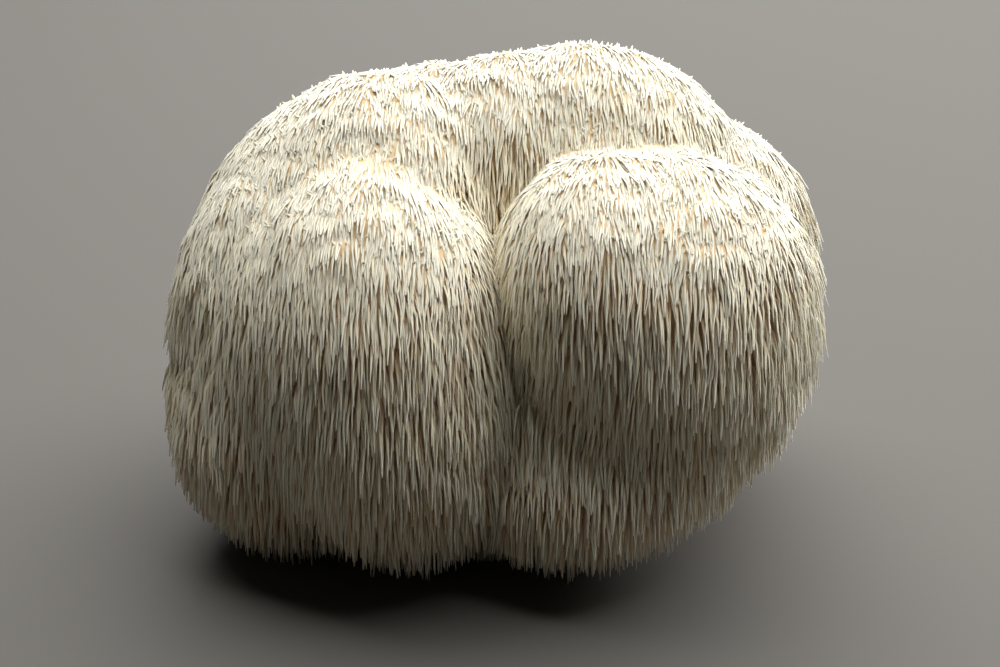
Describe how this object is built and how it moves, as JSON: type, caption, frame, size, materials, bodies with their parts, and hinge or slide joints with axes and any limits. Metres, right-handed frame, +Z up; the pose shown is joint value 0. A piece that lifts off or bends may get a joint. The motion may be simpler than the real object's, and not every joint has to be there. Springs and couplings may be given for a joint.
{
  "type": "lion's mane mushroom",
  "caption": "Lobed cream mushroom globe hung with soft spines, short studs on top and long strands down the sides, cut off flat underneath.",
  "frame": {"origin": "middle of the plan's bounding box, on the plane of the flat cut underneath", "axes": "+Z up from the cut, +Y to the back, +X to the right as seen in the picture; the widest side runs along X"},
  "size_m": [0.142, 0.123, 0.1003],
  "materials": {
    "cream_flesh": "matte"
  },
  "bodies": {
    "root": {"fruiting_body": "cream_flesh"}
  },
  "joints": []
}
